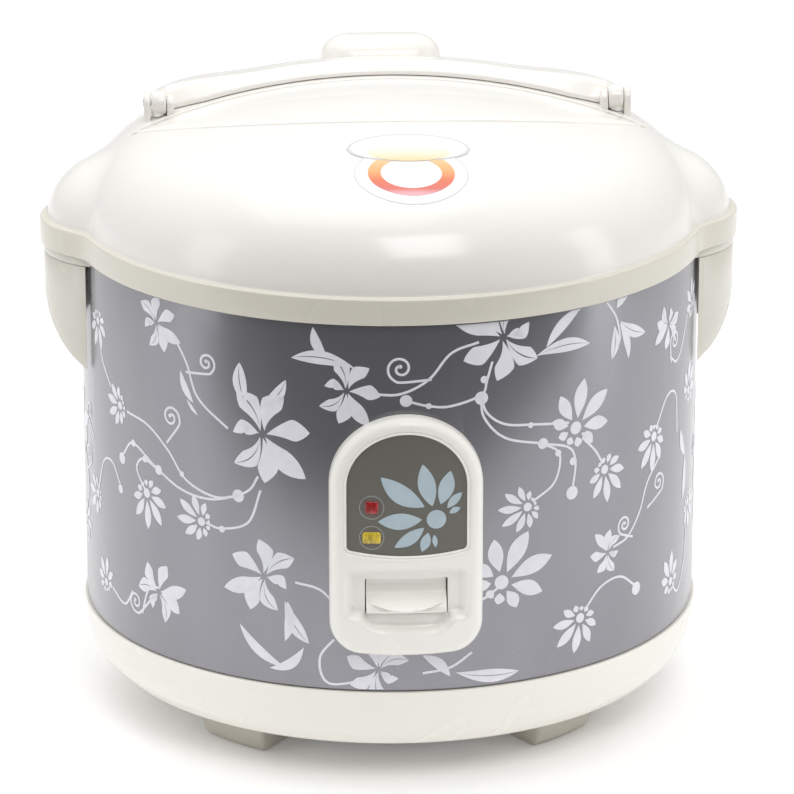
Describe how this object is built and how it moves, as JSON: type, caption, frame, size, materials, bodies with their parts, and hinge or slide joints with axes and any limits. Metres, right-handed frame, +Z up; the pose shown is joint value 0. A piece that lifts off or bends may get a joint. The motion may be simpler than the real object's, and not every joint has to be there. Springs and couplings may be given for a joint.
{
  "type": "rice cooker",
  "caption": "Jar-type electric rice cooker: printed steel body on a plastic base, hinged domed lid with carry handle and steam vent, side grips and a front switch panel.",
  "frame": {"origin": "on the floor below the centre of the body", "axes": "+Z up, -Y to the front with the control panel, +X to the right seen from the front"},
  "size_m": [0.305, 0.291, 0.279],
  "materials": {
    "printed_sheet": "gloss",
    "base_plastic": "satin gloss",
    "foot_plastic": "satin",
    "trim_plastic": "satin gloss",
    "panel_plastic": "satin gloss",
    "inlay_print": "satin",
    "lid_plastic": "gloss",
    "inner_plastic": "satin",
    "pot_aluminium": "satin",
    "housing_aluminium": "matt",
    "zinc_steel": "satin",
    "brass_contacts": "satin",
    "magnet_ferrite": "matt",
    "black_plastic": "satin",
    "lead_sleeve": "matt",
    "gasket_rubber": "matt",
    "red_lens": "gloss",
    "amber_lens": "gloss",
    "lamp_glass": "gloss"
  },
  "bodies": {
    "cooker_body": {"base_shell": "base_plastic", "bottom_cover": "zinc_steel", "base_screw_front": "zinc_steel", "base_screw_rear_right": "zinc_steel", "base_screw_rear_left": "zinc_steel", "foot_front_left": "foot_plastic", "foot_front_right": "foot_plastic", "foot_rear_left": "foot_plastic", "foot_rear_right": "foot_plastic", "body_shell": "printed_sheet", "upper_ring": "trim_plastic", "side_grip_left": "trim_plastic", "side_grip_right": "trim_plastic", "grip_screw_left": "zinc_steel", "grip_screw_right": "zinc_steel", "pot_housing": "housing_aluminium", "inner_pot": "pot_aluminium", "heating_plate": "housing_aluminium", "heater_terminal_left": "brass_contacts", "heater_terminal_right": "brass_contacts", "keep_warm_heater": "zinc_steel", "thermostat_spring": "zinc_steel", "thermostat_bracket": "zinc_steel", "lever_pin": "zinc_steel", "lever_bracket": "zinc_steel", "micro_switch": "black_plastic", "panel_bezel": "panel_plastic", "panel_inlay": "inlay_print", "cook_lens": "red_lens", "warm_lens": "amber_lens", "lamp_block": "lamp_glass", "power_inlet": "black_plastic", "inlet_pin_line": "brass_contacts", "inlet_pin_neutral": "brass_contacts", "inlet_pin_earth": "brass_contacts", "lead_line": "lead_sleeve", "thermal_fuse": "lead_sleeve", "lead_lamps": "lead_sleeve", "hinge_pin": "zinc_steel", "hinge_spring": "zinc_steel", "hinge_cover": "trim_plastic"},
    "lid": {"lid_outer_shell": "lid_plastic", "lid_inner_shell": "inner_plastic", "inner_lid_plate": "pot_aluminium", "lid_gasket": "gasket_rubber", "plate_grommet": "gasket_rubber", "steam_tube": "inner_plastic", "latch_pin": "zinc_steel", "latch_spring": "zinc_steel", "handle_pin_left": "zinc_steel", "handle_pin_right": "zinc_steel"},
    "carry_handle": {"carry_handle": "trim_plastic"},
    "release_plate": {"release_plate": "lid_plastic"},
    "latch_hook": {"latch_hook": "inner_plastic"},
    "vent_cap": {"steam_vent_cap": "lid_plastic"},
    "cook_switch": {"cook_lever": "trim_plastic", "switch_arm": "zinc_steel", "switch_magnet": "magnet_ferrite"},
    "thermostat": {"thermostat_capsule": "housing_aluminium"}
  },
  "joints": [
    {"name": "lid_hinge", "type": "hinge", "parent": "cooker_body", "child": "lid", "pos_m": [0, 0.14, 0.213], "axis": [-1, 0, 0], "range_deg": [0, 85]},
    {"name": "handle_pivot", "type": "hinge", "parent": "lid", "child": "carry_handle", "pos_m": [0, 0.016, 0.2645], "axis": [1, 0, 0], "range_deg": [0, 90]},
    {"name": "release_rock", "type": "hinge", "parent": "lid", "child": "release_plate", "pos_m": [0, 0.028, 0.268], "axis": [1, 0, 0], "range_deg": [0, 3], "stiffness_Nm_per_rad": 2, "springref_deg": -2.86},
    {"name": "latch_pivot", "type": "hinge", "parent": "lid", "child": "latch_hook", "pos_m": [0, -0.112, 0.229], "axis": [1, 0, 0], "range_deg": [-2.6, 0], "stiffness_Nm_per_rad": 0.3, "springref_deg": 2.86},
    {"name": "vent_cap_lift", "type": "slide", "parent": "lid", "child": "vent_cap", "axis": [0, 0, 1], "range_m": [0, 0.028]},
    {"name": "cook_lever_pivot", "type": "hinge", "parent": "cooker_body", "child": "cook_switch", "pos_m": [0, -0.119, 0.088], "axis": [1, 0, 0], "range_deg": [0, 6], "stiffness_Nm_per_rad": 0.3, "springref_deg": -2.86},
    {"name": "thermostat_slide", "type": "slide", "parent": "cooker_body", "child": "thermostat", "axis": [0, 0, 1], "range_m": [-0.002, 0], "stiffness_N_per_m": 400, "springref_m": 0.003, "deforming": ["thermostat_spring"]}
  ],
  "couplings": [
    {"joint": "latch_pivot", "follows": "release_rock", "ratio": -0.8}
  ]
}
